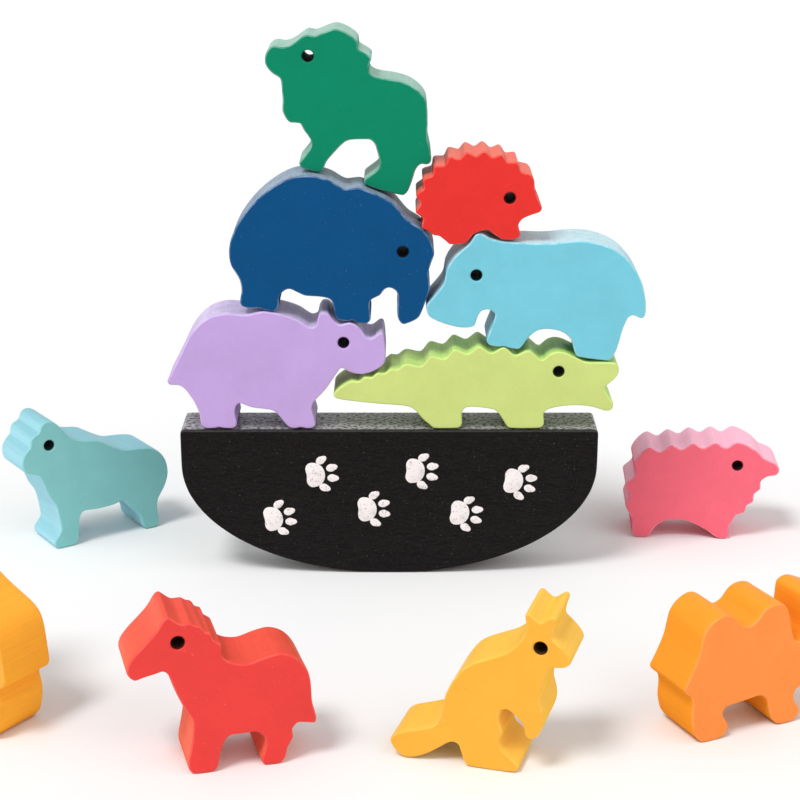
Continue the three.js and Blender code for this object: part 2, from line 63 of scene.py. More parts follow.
# Paint on each sawn animal, and the stain on the rocker
PAINT = {
    "rhinoceros": "c3a6e0",
    "crocodile": "ccdd84",
    "elephant": "014c80",
    "hippopotamus": "78cbde",
    "hedgehog": "e6342f",
    "lion": "018663",
    "bear": "88cdcd",
    "sheep": "fa6f82",
    "horse": "ea4440",
    "kangaroo": "f9b13e",
    "camel": "ff9446",
    "giraffe": "fbae3e",
}
# The same paint on the sawn edges, with light and shade painted in: where they stand upright, set lighter
# than the face on some animals and darker on others as painted light and shade; where they look up, mostly
# paler as painted light from above and painted sheen; and how much dirt has settled there
EDGE_PAINT_AND_LIGHT = {
    "rhinoceros": ("b496d4", "d8c8ee", 0.3),
    "crocodile": ("a8cc5c", "cdf27e", 0.26),
    "elephant": ("124f86", "96abc4", 0.62),
    "hippopotamus": ("3fa3c0", "c6e8f1", 0.26),
    "hedgehog": ("c82824", "ee6c56", 0.08),
    "lion": ("3a9f80", "9ac6b6", 0.3),
    "bear": ("a7dbe7", "8ac3ce", 0.04),
    "sheep": ("fa7488", "ffbcd2", 0.03),
    "horse": ("f8755a", "f0543e", 0.1),
    "kangaroo": ("ffcc52", "ffc74e", 0.03),
    "camel": ("fa9d2f", "fa9d2f", 0.04),
    "giraffe": ("ffb23a", "ffb03a", 0.05),
}
EDGE_DIRT = "4b4845"
EDGE_PORE = "1c1a18"
# near black painted shade for the eye bores, two depths of it alternating along the drill rings
BORE_PAINTED_SHADE = "1d1511"
BORE_DEEPER_PAINTED_SHADE = "0c0908"
BLACK_STAIN = "0b0909"
STAIN_PORE = "090707"
# pale grey painted on the black stain where it looks up: a painted sheen
STAIN_PAINTED_SHEEN = "bebcbc"
STAIN_GRIT = "6e6866"
STAIN_DUST = "8a8480"
WHITE_INK = "efeaea"
THIN_INK = "b9b3b2"
INK_PINHOLE = "5d5856"
FLOOR_WHITE = "f0f0f0"
BLACK = "000000"
WHITE = "ffffff"

# Upward part of a surface's normal at which the painted light from above and the painted sheen begin on
# the edges and on the black stain, as does the edges' polish, and at which they are full
UPWARD_SHARE_BEGINS = 0.1
UPWARD_SHARE_FULL = 0.8

# Open pores of the rocker's wood along, through and up the board. They are about 0.5 mm wide, and are
# drawn wider on the edges, which are seen at a slant, so that they show
FACE_PORE_SIZE = (3 * MM, 0.5 * MM, 0.5 * MM)
EDGE_PORE_SIZE = (1.4 * MM, 1.3 * MM, 0.5 * MM)
# The painted sheen on the rocker's deck is left off a strip along its front arris, which stays black, up to
# an uneven line
ARRIS_BLACK = 1.5 * MM
ARRIS_FADE = 0.6 * MM
ARRIS_UNEVEN = 0.9 * MM
NOWHERE = -1.0

# How far each stacked animal leans, in degrees, so that its grain leans with it
LEAN = {"elephant": -8.0, "hippopotamus": -7.7, "hedgehog": 4.8, "lion": -15.7}

# Finishing of a sawn board
MERGE = 0.001 * MM
ON_PLANE = 0.01 * MM
FACE_COSINE = 0.99
FLAT_ANGLE = math.radians(0.4)
RIM_HOLD = 1.0 * MM
RIM_DEPTH = 0.45 * MM
ROUNDING = 2
FACE_MARGIN = 0.1 * MM
SMOOTH_ANGLE = math.radians(60)
HOLD_FROM_END = 2.6 * MM

# Printed trail on the rocker's front
PAW_PAD = 4.3 * MM
PAW_SIDES = 36
PAD_SPREAD = (1.08, 1, 0.9)
LOBE_SPREAD = (1.16, 1, 1)
LOBE_TOP = -0.2 * PAW_PAD
CLEFT_HALF = 0.35 * PAW_PAD
CLEFT_RISE = 0.3 * PAW_PAD
PAD_SMOOTHING = 4
TOE_SIDES = 20
TOE_RADIUS = 2.0 * MM
TOE_SPREAD = (0.74, 1, 1)
TOE_TIP_SPREAD = (0.86, 1, 1.12)
TOE_TIP = 0.3 * TOE_RADIUS
# each toe's place across and up in millimetres, and its outward tilt in degrees
TOES = ((-5.3, 3.0, 28), (-2.0, 6.4, 9), (2.0, 6.4, -9), (5.3, 3.0, -28))
INK_DEPTH = 0.08 * MM
INK_BED = 0.03 * MM
INK_ROUND = 0.03 * MM
TRAIL_STEPS = 6
TRAIL_PITCH = 17.4 * MM
TRAIL_RISE = 4.0 * MM
TRAIL_STRADDLE = 7.4 * MM
TRAIL_HEIGHT = 28.5 * MM

# Camera and light
LENS = 87.67
CAMERA_PLACE = (0.00385, -0.6712, 0.2802)
CAMERA_TILT = math.radians(72.075)
KEY_STRENGTH = 1.66
KEY_SOFTNESS = math.radians(18)
KEY_TILT = (math.radians(24), math.radians(-22), 0.0)
SIDE_STRENGTH = 0.5
SIDE_SOFTNESS = math.radians(40)
SIDE_TILT = (math.radians(14.5), math.radians(-61.4), 0.0)
FILL_STRENGTH = 0.7
FILL_SOFTNESS = math.radians(60)
FILL_TILT = (math.radians(30), math.radians(42), 0.0)
ROOM_LIGHT = 0.52
FLOOR_SIZE = 30.0


def linear(hexcode):
    """sRGB hex to the linear colour that a shader takes."""
    shares = [int(hexcode[i : i + 2], 16) / 255 for i in (0, 2, 4)]
    return tuple(s / 12.92 if s <= 0.04045 else ((s + 0.055) / 1.055) ** 2.4 for s in shares) + (1.0,)


def thinned(hexcode, other, share):
    """A paint let down with some of another one."""
    return tuple(a + (b - a) * share for a, b in zip(linear(hexcode), linear(other)))


def add(tree, kind, inputs, **settings):
    """One node with its settings, its constants and its links."""
    made = tree.nodes.new("ShaderNode" + kind)
    for name, value in settings.items():
        setattr(made, name, value)
    for name, value in inputs.items():
        if isinstance(value, bpy.types.NodeSocket):
            tree.links.new(value, made.inputs[name])
        else:
            made.inputs[name].default_value = value
    return made


def new_finish(name):
    """An empty material and its node tree."""
    finish = bpy.data.materials.new(name)
    finish.use_nodes = True
    finish.node_tree.nodes.clear()
    return finish, finish.node_tree


def sprayed_face(piece, paint, turn):
    """Satin acrylic sprayed on a sanded basswood face: an even, cloudy coat with dust nibs and pinholes."""
    finish, tree = new_finish(f"sprayed_acrylic_face_{piece}")
    place = add(tree, "TexCoord", {}).outputs["Object"]
    # coat thickness drifts over about 15 mm
    cloud_at = add(tree, "Mapping", {"Vector": place, "Scale": (15 * MM,) * 3}, vector_type="TEXTURE")
    cloud = add(
        tree,
        "TexNoise",
        {"Vector": cloud_at.outputs[0], "Scale": 1.0, "Detail": 7.0, "Roughness": 0.7},
    ).outputs[0]
    # dust nibs are about 0.1 mm across and are drawn at 0.6 mm so that they show
    nib_at = add(tree, "Mapping", {"Vector": place, "Scale": (0.6 * MM,) * 3}, vector_type="TEXTURE")
    nib = add(tree, "TexNoise", {"Vector": nib_at.outputs[0], "Scale": 1.0, "Detail": 0.0}).outputs[0]
    nib_share = add(tree, "MapRange", {"Value": nib, "From Min": 0.8, "From Max": 0.86, "To Max": 0.22})
    # pinholes where the spray did not reach into a pore, about as large
    hole_share = add(tree, "MapRange", {"Value": nib, "From Min": 0.17, "From Max": 0.12, "To Max": 0.4})
    cloud_share = add(tree, "MapRange", {"Value": cloud, "From Min": 0.3, "From Max": 0.7})
    coat = add(
        tree,
        "Mix",
        {0: cloud_share.outputs[0], 6: thinned(paint, BLACK, 0.1), 7: linear(paint)},
        data_type="RGBA",
    )
    nibbed = add(
        tree,
        "Mix",
        {0: nib_share.outputs[0], 6: coat.outputs[2], 7: thinned(paint, WHITE, 0.4)},
        data_type="RGBA",
    )
    colour = add(
        tree,
        "Mix",
        {0: hole_share.outputs[0], 6: nibbed.outputs[2], 7: thinned(paint, BLACK, 0.7)},
        data_type="RGBA",
    )
    # the grain telegraphs through as lines 0.7 mm wide and 16 mm long
    grain_at = add(
        tree,
        "Mapping",
        {"Vector": place, "Rotation": turn, "Scale": (16 * MM, 0.7 * MM, 0.7 * MM)},
        vector_type="TEXTURE",
    )
    grain = add(tree, "TexNoise", {"Vector": grain_at.outputs[0], "Scale": 1.0, "Detail": 2.0}).outputs[0]
    relief = add(tree, "Bump", {"Height": grain, "Strength": 0.35, "Distance": 0.03 * MM})
    nibs = add(
        tree,
        "Bump",
        {
            "Height": nib_share.outputs[0],
            "Strength": 0.5,
            "Distance": 0.05 * MM,
            "Normal": relief.outputs[0],
        },
    )
    gloss = add(tree, "MapRange", {"Value": cloud, "To Min": 0.4, "To Max": 0.56})
    shader = add(
        tree,
        "BsdfPrincipled",
        {
            "Base Color": colour.outputs[2],
            "Roughness": gloss.outputs[0],
            "Specular IOR Level": 0.1,
            "Normal": nibs.outputs[0],
        },
    )
    add(tree, "OutputMaterial", {"Surface": shader.outputs[0]})
    return finish


def sealed_edge(piece, upright, upward, turn, dirt):
    """The same acrylic on a sawn edge: it sinks into the grain, saw marks show, dirt greys it, and light
    and shade are painted into its colour by which way it looks.
    """
    finish, tree = new_finish(f"acrylic_sealed_edge_painted_light_{piece}")
    place = add(tree, "TexCoord", {}).outputs["Object"]
    # saw marks about 0.9 mm apart, running through the thickness
    saw_at = add(
        tree,
        "Mapping",
        {"Vector": place, "Rotation": turn, "Scale": (0.9 * MM, 22 * MM, 0.9 * MM)},
        vector_type="TEXTURE",
    )
    saw = add(tree, "TexNoise", {"Vector": saw_at.outputs[0], "Scale": 1.0, "Detail": 2.0}).outputs[0]
    saw_share = add(
        tree,
        "MapRange",
        {"Value": saw, "From Min": 0.3, "From Max": 0.7, "To Min": 0.06 + 0.2 * dirt, "To Max": 0.0},
    )
    # open pores 0.4 mm wide and 4 mm long along the board
    pore_at = add(
        tree,
        "Mapping",
        {"Vector": place, "Rotation": turn, "Scale": (4 * MM, 0.4 * MM, 0.4 * MM)},
        vector_type="TEXTURE",
    )
    pore = add(tree, "TexNoise", {"Vector": pore_at.outputs[0], "Scale": 1.0, "Detail": 2.0}).outputs[0]
    pore_share = add(
        tree, "MapRange", {"Value": pore, "From Min": 0.55, "From Max": 0.72, "To Max": 0.5 * dirt}
    )
    # dirt gathers in patches about 5 mm across
    patch_at = add(tree, "Mapping", {"Vector": place, "Scale": (5 * MM,) * 3}, vector_type="TEXTURE")
    patch = add(
        tree,
        "TexNoise",
        {"Vector": patch_at.outputs[0], "Scale": 1.0, "Detail": 6.0, "Roughness": 0.75},
    ).outputs[0]
    patch_share = add(
        tree, "MapRange", {"Value": patch, "From Min": 0.42, "From Max": 0.68, "To Max": 0.8 * dirt}
    )
    # where the edge looks up its paint turns to the upward colour: painted light from above and painted
    # sheen
    way = add(tree, "NewGeometry", {}).outputs["Normal"]
    rise = add(tree, "SeparateXYZ", {"Vector": way}).outputs["Z"]
    painted_toplight_share = add(tree, "MapRange", {"Value": rise, "From Min": UPWARD_SHARE_BEGINS, "From Max": UPWARD_SHARE_FULL})
    paint = add(
        tree, "Mix", {0: painted_toplight_share.outputs[0], 6: linear(upright), 7: linear(upward)}, data_type="RGBA"
    )
    sawn = add(
        tree, "Mix", {0: saw_share.outputs[0], 6: paint.outputs[2], 7: linear(BLACK)}, data_type="RGBA"
    )
    greyed = add(
        tree,
        "Mix",
        {0: patch_share.outputs[0], 6: sawn.outputs[2], 7: linear(EDGE_DIRT)},
        data_type="RGBA",
    )
    colour = add(
        tree,
        "Mix",
        {0: pore_share.outputs[0], 6: greyed.outputs[2], 7: linear(EDGE_PORE)},
        data_type="RGBA",
    )
    marks = add(tree, "Bump", {"Height": saw, "Strength": 0.5, "Distance": 0.08 * MM})
    pores = add(
        tree,
        "Bump",
        {"Height": pore, "Strength": 0.5, "Distance": 0.05 * MM, "Normal": marks.outputs[0]},
        invert=True,
    )
    # handling polishes what looks up, and the upright edges stay matt
    shine = add(
        tree, "MapRange", {"Value": rise, "From Min": UPWARD_SHARE_BEGINS, "From Max": UPWARD_SHARE_FULL, "To Max": 0.08}
    )
    gloss = add(tree, "MapRange", {"Value": patch, "To Min": 0.32, "To Max": 0.5})
    shader = add(
        tree,
        "BsdfPrincipled",
        {
            "Base Color": colour.outputs[2],
            "Roughness": gloss.outputs[0],
            "Specular IOR Level": shine.outputs[0],
            "Normal": pores.outputs[0],
        },
    )
    add(tree, "OutputMaterial", {"Surface": shader.outputs[0]})
    return finish


def rubbed_rim_painted_highlight(piece, paint, edge):
    """The rounded rim between face and edge: worn smooth by hands, so it shines, and paler spots of painted
    highlight lie along it.
    """
    finish, tree = new_finish(f"acrylic_rim_painted_highlight_{piece}")
    place = add(tree, "TexCoord", {}).outputs["Object"]
    # paler spots about 3 mm long, a painted highlight mixed from the edge's paler upward colour
    spot_at = add(tree, "Mapping", {"Vector": place, "Scale": (3 * MM,) * 3}, vector_type="TEXTURE")
    spot = add(tree, "TexNoise", {"Vector": spot_at.outputs[0], "Scale": 1.0, "Detail": 3.0}).outputs[0]
    rim_highlight_share = add(tree, "MapRange", {"Value": spot, "From Min": 0.35, "From Max": 0.65, "To Max": 0.55})
    colour = add(
        tree,
        "Mix",
        {0: rim_highlight_share.outputs[0], 6: linear(paint), 7: thinned(edge, WHITE, 0.06)},
        data_type="RGBA",
    )
    relief = add(tree, "Bump", {"Height": spot, "Strength": 0.3, "Distance": 0.04 * MM})
    gloss = add(tree, "MapRange", {"Value": spot, "To Min": 0.3, "To Max": 0.45})
    shader = add(
        tree,
        "BsdfPrincipled",
        {
            "Base Color": colour.outputs[2],
            "Roughness": gloss.outputs[0],
            "Specular IOR Level": 0.2,
            "Normal": relief.outputs[0],
        },
    )
    add(tree, "OutputMaterial", {"Surface": shader.outputs[0]})
    return finish


def drilled_bore(piece, paint, turn):
    """Basswood bored with a twist drill: rough and dull, painted near black as painted shade in the deep
    bore, with some overspray.
    """
    finish, tree = new_finish(f"drilled_bore_painted_shade_{piece}")
    place = add(tree, "TexCoord", {}).outputs["Object"]
    # drill rings about 0.4 mm apart along the bore
    ring_at = add(
        tree,
        "Mapping",
        {"Vector": place, "Rotation": turn, "Scale": (3 * MM, 0.4 * MM, 3 * MM)},
        vector_type="TEXTURE",
    )
    ring = add(tree, "TexNoise", {"Vector": ring_at.outputs[0], "Scale": 1.0, "Detail": 1.0}).outputs[0]
    colour = add(
        tree,
        "Mix",
        {0: ring, 6: linear(BORE_DEEPER_PAINTED_SHADE), 7: thinned(BORE_PAINTED_SHADE, paint, 0.14)},
        data_type="RGBA",
    )
    rings = add(tree, "Bump", {"Height": ring, "Strength": 0.6, "Distance": 0.1 * MM})
    shader = add(
        tree,
        "BsdfPrincipled",
        {"Base Color": colour.outputs[2], "Roughness": 0.85, "IOR": 1.3, "Normal": rings.outputs[0]},
    )
    add(tree, "OutputMaterial", {"Surface": shader.outputs[0]})
    return finish


def black_stained_painted_sheen(name, painted_sheen, pore_size, pore_depth, shine, black_to):
    """Basswood stained black and waxed: pores stay darker, a painted sheen lays grey on what looks up, dust
    sits on it.
    """
    finish, tree = new_finish(name)
    place = add(tree, "TexCoord", {}).outputs["Object"]
    # open pores, drawn out along the rocker
    pore_at = add(tree, "Mapping", {"Vector": place, "Scale": pore_size}, vector_type="TEXTURE")
    pore = add(tree, "TexNoise", {"Vector": pore_at.outputs[0], "Scale": 1.0, "Detail": 3.0}).outputs[0]
    # growth bands about 2.5 mm wide, drawn out along the rocker
    band_at = add(
        tree, "Mapping", {"Vector": place, "Scale": (35 * MM, 2.5 * MM, 2.5 * MM)}, vector_type="TEXTURE"
    )
    band = add(tree, "TexNoise", {"Vector": band_at.outputs[0], "Scale": 1.0, "Detail": 4.0}).outputs[0]
    # sanding dust in the wax, about 0.7 mm apart
    grit_at = add(
        tree, "Mapping", {"Vector": place, "Scale": (1.1 * MM, 0.6 * MM, 0.6 * MM)}, vector_type="TEXTURE"
    )
    grit = add(tree, "TexNoise", {"Vector": grit_at.outputs[0], "Scale": 1.0, "Detail": 2.0}).outputs[0]
    grit_share = add(tree, "MapRange", {"Value": grit, "From Min": 0.47, "From Max": 0.8, "To Max": 0.06})
    # dust about 0.1 mm across, drawn at 0.5 mm so that it shows
    dust_at = add(tree, "Mapping", {"Vector": place, "Scale": (0.5 * MM,) * 3}, vector_type="TEXTURE")
    dust = add(tree, "TexNoise", {"Vector": dust_at.outputs[0], "Scale": 1.0, "Detail": 0.0}).outputs[0]
    dust_share = add(tree, "MapRange", {"Value": dust, "From Min": 0.82, "From Max": 0.9, "To Max": 0.3})
    # what looks up is painted grey as a painted sheen, most of all along the harder bands, and the rest
    # stays black
    way = add(tree, "NewGeometry", {}).outputs["Normal"]
    rise = add(tree, "SeparateXYZ", {"Vector": way}).outputs["Z"]
    upward_sheen = add(
        tree,
        "MapRange",
        {
            "Value": rise,
            "From Min": UPWARD_SHARE_BEGINS,
            "From Max": UPWARD_SHARE_FULL,
            "To Min": 0.1 * painted_sheen,
            "To Max": painted_sheen,
        },
    )
    hard = add(tree, "MapRange", {"Value": band, "To Min": 0.5, "To Max": 1.0})
    banded_sheen = add(tree, "Math", {0: upward_sheen.outputs[0], 1: hard.outputs[0]}, operation="MULTIPLY")
    # the painted sheen is left off the strip beside the front arris, which stays black, up to an uneven
    # line
    inward = add(tree, "SeparateXYZ", {"Vector": place}).outputs["Y"]
    wander = add(tree, "MapRange", {"Value": grit, "To Min": -ARRIS_UNEVEN, "To Max": ARRIS_UNEVEN})
    uneven = add(tree, "Math", {0: inward, 1: wander.outputs[0]}, operation="ADD")
    sheen_past_arris = add(
        tree,
        "MapRange",
        {"Value": uneven.outputs[0], "From Min": black_to, "From Max": black_to + ARRIS_FADE},
    )
    sheen_share = add(tree, "Math", {0: banded_sheen.outputs[0], 1: sheen_past_arris.outputs[0]}, operation="MULTIPLY")
    banded = add(
        tree,
        "Mix",
        {0: sheen_share.outputs[0], 6: linear(BLACK_STAIN), 7: linear(STAIN_PAINTED_SHEEN)},
        data_type="RGBA",
    )
    pore_share = add(
        tree,
        "MapRange",
        {"Value": pore, "From Min": 0.45, "From Max": 0.62, "To Max": 0.4 + 0.5 * painted_sheen},
    )
    grained = add(
        tree,
        "Mix",
        {0: pore_share.outputs[0], 6: banded.outputs[2], 7: linear(STAIN_PORE)},
        data_type="RGBA",
    )
    gritty = add(
        tree,
        "Mix",
        {0: grit_share.outputs[0], 6: grained.outputs[2], 7: linear(STAIN_GRIT)},
        data_type="RGBA",
    )
    colour = add(
        tree,
        "Mix",
        {0: dust_share.outputs[0], 6: gritty.outputs[2], 7: linear(STAIN_DUST)},
        data_type="RGBA",
    )
    relief = add(tree, "Bump", {"Height": pore, "Strength": 0.7, "Distance": pore_depth}, invert=True)
    gloss = add(
        tree,
        "MapRange",
        {"Value": pore, "From Min": 0.3, "From Max": 0.7, "To Min": 0.42, "To Max": 0.7},
    )
    shader = add(
        tree,
        "BsdfPrincipled",
        {
            "Base Color": colour.outputs[2],
            "Roughness": gloss.outputs[0],
            "Specular IOR Level": shine,
            "Normal": relief.outputs[0],
        },
    )
    add(tree, "OutputMaterial", {"Surface": shader.outputs[0]})
    return finish


def screened_ink():
    """White screen-printing ink: a matt, patchy film with pinholes where the stain shows through."""
    finish, tree = new_finish("screen_printed_white_ink")
    place = add(tree, "TexCoord", {}).outputs["Object"]
    # patches follow the mesh and the squeegee, about 2 mm across
    patch_at = add(tree, "Mapping", {"Vector": place, "Scale": (2 * MM,) * 3}, vector_type="TEXTURE")
    patch = add(tree, "TexNoise", {"Vector": patch_at.outputs[0], "Scale": 1.0, "Detail": 4.0}).outputs[0]
    # pinholes are under 0.1 mm and are drawn at 0.5 mm so that they show
    hole_at = add(tree, "Mapping", {"Vector": place, "Scale": (0.5 * MM,) * 3}, vector_type="TEXTURE")
    hole = add(tree, "TexNoise", {"Vector": hole_at.outputs[0], "Scale": 1.0, "Detail": 0.0}).outputs[0]
    hole_share = add(tree, "MapRange", {"Value": hole, "From Min": 0.72, "From Max": 0.8, "To Max": 0.6})
    film_share = add(tree, "MapRange", {"Value": patch, "From Min": 0.5, "From Max": 0.8, "To Max": 0.6})
    film = add(
        tree,
        "Mix",
        {0: film_share.outputs[0], 6: linear(WHITE_INK), 7: linear(THIN_INK)},
        data_type="RGBA",
    )
    colour = add(
        tree,
        "Mix",
        {0: hole_share.outputs[0], 6: film.outputs[2], 7: linear(INK_PINHOLE)},
        data_type="RGBA",
    )
    relief = add(tree, "Bump", {"Height": patch, "Strength": 0.3, "Distance": 0.03 * MM})
    shader = add(
        tree,
        "BsdfPrincipled",
        {"Base Color": colour.outputs[2], "Roughness": 0.62, "IOR": 1.45, "Normal": relief.outputs[0]},
    )
    add(tree, "OutputMaterial", {"Surface": shader.outputs[0]})
    return finish


def only(piece):
    """Selects one piece alone and makes it active."""
    bpy.ops.object.select_all(action="DESELECT")
    piece.select_set(True)
    bpy.context.view_layer.objects.active = piece


def pick(piece, kind, test):
    """In edit mode, selects the vertices, edges or faces that pass a test."""
    bpy.ops.mesh.select_mode(type=kind)
    bpy.ops.mesh.select_all(action="DESELECT")
    shape = bmesh.from_edit_mesh(piece.data)
    items = {"VERT": shape.verts, "EDGE": shape.edges, "FACE": shape.faces}[kind]
    for item in items:
        if test(item):
            item.select_set(True)
    shape.select_flush_mode()
    bmesh.update_edit_mesh(piece.data)


def apply_modifier(piece, kind, **settings):
    """Adds a modifier with its settings and applies it."""
    bpy.ops.object.modifier_add(type=kind)
    modifier = piece.modifiers[-1]
    for name, value in settings.items():
        setattr(modifier, name, value)
    bpy.ops.object.modifier_apply(modifier=modifier.name)


def facing(mesh):
    """The way a board's front looks, its middle along that way, and half its thickness."""
    areas = {}
    for face in mesh.polygons:
        key = tuple(round(c, 3) for c in face.normal)
        areas[key] = areas.get(key, Vector((0, 0, 0))) + face.normal * face.area
    front = max(areas.values(), key=lambda total: total.length).normalized()
    if front.y > 0:
        front.negate()
    depths = [front.dot(v.co) for v in mesh.vertices]
    return front, (max(depths) + min(depths)) / 2, (max(depths) - min(depths)) / 2


FACE, RIM, EDGE, BORE = range(4)


def sawn_board(node, finishes, supports=()):
    """A board with its sawn outline made smooth and its rims rounded, in place of the faceted one."""
    mesh = frame["nodes"][node].data.copy()
    board = bpy.data.objects.new(f"{node}_board", mesh)
    bpy.context.scene.collection.objects.link(board)
    only(board)
    front, middle, half = facing(mesh)
    mesh.materials.clear()
    for finish in finishes:
        mesh.materials.append(finish)

    bpy.ops.object.mode_set(mode="EDIT")
    bpy.ops.mesh.select_all(action="SELECT")
    bpy.ops.mesh.remove_doubles(threshold=MERGE)
    pick(board, "FACE", lambda f: abs(f.normal.dot(front)) > FACE_COSINE)
    bpy.ops.mesh.delete(type="FACE")
    bpy.ops.mesh.select_all(action="SELECT")
    bpy.ops.mesh.dissolve_limited(angle_limit=FLAT_ANGLE)
    holds = [(front * (middle + side * (half - RIM_HOLD)), front) for side in (-1, 1)]
    for point, way in [*holds, *supports]:
        bpy.ops.mesh.select_all(action="SELECT")
        bpy.ops.mesh.bisect(plane_co=point, plane_no=way)
    bpy.ops.object.mode_set(mode="OBJECT")
    apply_modifier(board, "SUBSURF", levels=ROUNDING, render_levels=ROUNDING)

    bpy.ops.object.mode_set(mode="EDIT")
    lowest = min(v.co.z for v in mesh.vertices)
    pick(board, "VERT", lambda v: v.co.z < lowest + MERGE)
    bpy.ops.mesh.select_linked()
    outline = {v.index for v in bmesh.from_edit_mesh(mesh).verts if v.select}
    shape = bmesh.from_edit_mesh(mesh)
    for face in shape.faces:
        depth = abs(front.dot(face.calc_center_median()) - middle)
        at_rim = depth > half - RIM_DEPTH
        in_bore = face.verts[0].index not in outline
        if in_bore:
            face.material_index = FACE if at_rim else BORE
        else:
            face.material_index = RIM if at_rim else EDGE
    for side in (-1, 1):
        level = middle + side * half
        pick(
            board,
            "EDGE",
            lambda e: e.is_boundary and all(abs(front.dot(v.co) - level) < ON_PLANE for v in e.verts),
        )
        bpy.ops.mesh.fill(use_beauty=True)
        # a narrow flat margin keeps the rim's rounding off the face
        bpy.ops.mesh.inset(thickness=FACE_MARGIN, depth=0)
    pick(board, "FACE", lambda f: abs(abs(front.dot(f.calc_center_median()) - middle) - half) < ON_PLANE)
    board.active_material_index = FACE
    bpy.ops.object.material_slot_assign()
    bpy.ops.mesh.select_all(action="SELECT")
    bpy.ops.mesh.normals_make_consistent(inside=False)
    bpy.ops.object.mode_set(mode="OBJECT")
    only(board)
    bpy.ops.object.shade_smooth_by_angle(angle=SMOOTH_ANGLE)
    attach(board, node)
    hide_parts(node)
    return board


def ink_film(piece):
    """Gives a flat printed shape its film thickness and soft rim."""
    only(piece)
    apply_modifier(piece, "SOLIDIFY", thickness=INK_DEPTH, offset=1.0)
    apply_modifier(
        piece, "BEVEL", width=INK_ROUND, segments=2, limit_method="ANGLE", angle_limit=SMOOTH_ANGLE
    )


def flat_disc(name, sides, radius, depth):
    """A flat disc that looks out of the rocker's front, at the middle of the frame."""
    bpy.ops.object.select_all(action="DESELECT")
    bpy.ops.mesh.primitive_circle_add(
        vertices=sides,
        radius=radius,
        fill_type="NGON",
        location=(0, depth, 0),
        rotation=(math.pi / 2, 0, 0),
    )
    disc = bpy.context.active_object
    disc.name = name
    bpy.ops.object.transform_apply(location=True, rotation=True, scale=True)
    return disc


def copied(piece, name, place):
    """A copy with a mesh of its own, moved in its mesh."""
    copy = bpy.data.objects.new(name, piece.data.copy())
    copy.data.transform(place)
    bpy.context.scene.collection.objects.link(copy)
    return copy


def joined(pieces):
    """Several shapes made into the first one."""
    bpy.ops.object.select_all(action="DESELECT")
    for piece in pieces:
        piece.select_set(True)
    bpy.context.view_layer.objects.active = pieces[0]
    bpy.ops.object.join()
    return pieces[0]


def paw_print(depth):
    """One printed paw, its toes upwards: a pad with two lobes below and four toes above."""
    centre = (0, depth, 0)
    pad = flat_disc("paw_pad", PAW_SIDES, PAW_PAD, depth)
    bpy.ops.object.mode_set(mode="EDIT")
    bpy.ops.mesh.select_all(action="SELECT")
    bpy.ops.transform.resize(value=PAD_SPREAD, center_override=centre)
    pick(pad, "VERT", lambda v: v.co.z < LOBE_TOP)
    bpy.ops.transform.resize(value=LOBE_SPREAD, center_override=centre)
    pick(pad, "VERT", lambda v: v.co.z < 0 and abs(v.co.x) < CLEFT_HALF)
    bpy.ops.transform.translate(value=(0, 0, CLEFT_RISE))
    bpy.ops.mesh.select_all(action="SELECT")
    bpy.ops.mesh.vertices_smooth(factor=0.5, repeat=PAD_SMOOTHING)
    bpy.ops.object.mode_set(mode="OBJECT")
    ink_film(pad)

    toe = flat_disc("paw_toe", TOE_SIDES, TOE_RADIUS, depth)
    bpy.ops.object.mode_set(mode="EDIT")
    bpy.ops.mesh.select_all(action="SELECT")
    bpy.ops.transform.resize(value=TOE_SPREAD, center_override=centre)
    pick(toe, "VERT", lambda v: v.co.z > TOE_TIP)
    bpy.ops.transform.resize(value=TOE_TIP_SPREAD, center_override=centre)
    bpy.ops.object.mode_set(mode="OBJECT")
    ink_film(toe)
    toes = []
    for across, up, tilt in TOES:
        spot = Matrix.Translation((across * MM, 0, up * MM))
        turn = Matrix.Rotation(math.radians(-tilt), 4, "Y")
        toes.append(copied(toe, "paw_toe_copy", spot @ turn))
    bpy.data.objects.remove(toe)
    return joined([pad, *toes])


def paw_trail():
    """A trail of paws over the rocker's front, walking along a low arch, left and right feet in turn."""
    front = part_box("rocker")[0].y
    paw = paw_print(front + INK_BED)
    reach = TRAIL_PITCH * (TRAIL_STEPS - 1) / 2
    prints = []
    for step in range(TRAIL_STEPS):
        along = step * TRAIL_PITCH - reach
        arch = TRAIL_HEIGHT + TRAIL_RISE * math.cos(math.pi / 2 * along / reach)
        slope = -TRAIL_RISE * math.pi / 2 / reach * math.sin(math.pi / 2 * along / reach)
        heading = math.atan(slope)
        side = TRAIL_STRADDLE if step % 2 else -TRAIL_STRADDLE
        spot = Matrix.Translation((along - side * math.sin(heading), 0, arch + side * math.cos(heading)))
        turn = Matrix.Rotation(math.pi / 2 - heading, 4, "Y")
        prints.append(copied(paw, f"paw_print_{step}", spot @ turn))
    bpy.data.objects.remove(paw)
    trail = joined(prints)
    trail.name = "paw_trail_print"
    trail.data.materials.clear()
    trail.data.materials.append(screened_ink())
    only(trail)
    bpy.ops.object.shade_smooth_by_angle(angle=SMOOTH_ANGLE)
    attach(trail, "rocker")


# Animals
# each animal's edge colours carry painted light and shade, its rim a painted highlight and its bore painted
# shade
for animal, paint in PAINT.items():
    upright, upward, dirt = EDGE_PAINT_AND_LIGHT[animal]
    front = facing(frame["nodes"][animal].data)[0]
    turn = (0.0, math.radians(LEAN.get(animal, 0.0)), math.atan2(front.x, -front.y))
    finishes = [
        sprayed_face(animal, paint, turn),
        rubbed_rim_painted_highlight(animal, paint, upward),
        sealed_edge(animal, upright, upward, turn, dirt),
        drilled_bore(animal, paint, turn),
    ]
    sawn_board(animal, finishes)

